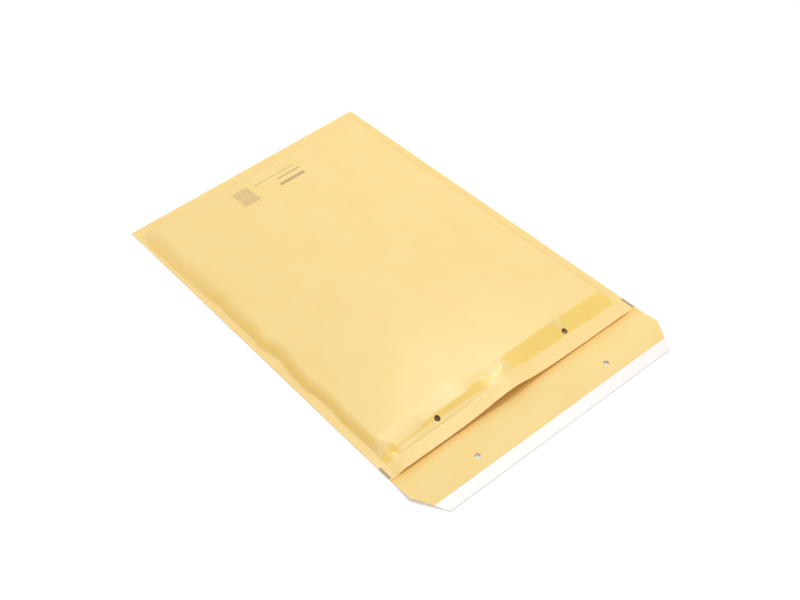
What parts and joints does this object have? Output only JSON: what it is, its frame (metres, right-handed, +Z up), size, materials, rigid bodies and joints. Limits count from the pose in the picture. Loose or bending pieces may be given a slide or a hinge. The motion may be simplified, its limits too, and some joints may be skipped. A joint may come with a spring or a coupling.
{
  "type": "padded envelope",
  "caption": "Flat kraft paper bag lined with bubble film, its mouth slightly open and its tapered flap unfolded, with a covered self-seal strip and punched holes for split pins.",
  "frame": {"origin": "on the table, under the middle of the whole outline, flap included", "axes": "+Z up out of the front panel, +Y from the mouth to the closed end, +X along the mouth"},
  "size_m": [0.24, 0.396, 0.0128],
  "materials": {
    "kraft_paper": "matt, faintly glazed",
    "bubble_film": "clear film",
    "adhesive": "tacky, glossy",
    "liner_paper": "smooth, silicone coated"
  },
  "bodies": {
    "root": {"outer_paper": "kraft_paper", "back_lining": "bubble_film", "front_lining": "bubble_film", "adhesive_strip": "adhesive", "release_liner": "liner_paper"}
  },
  "joints": []
}
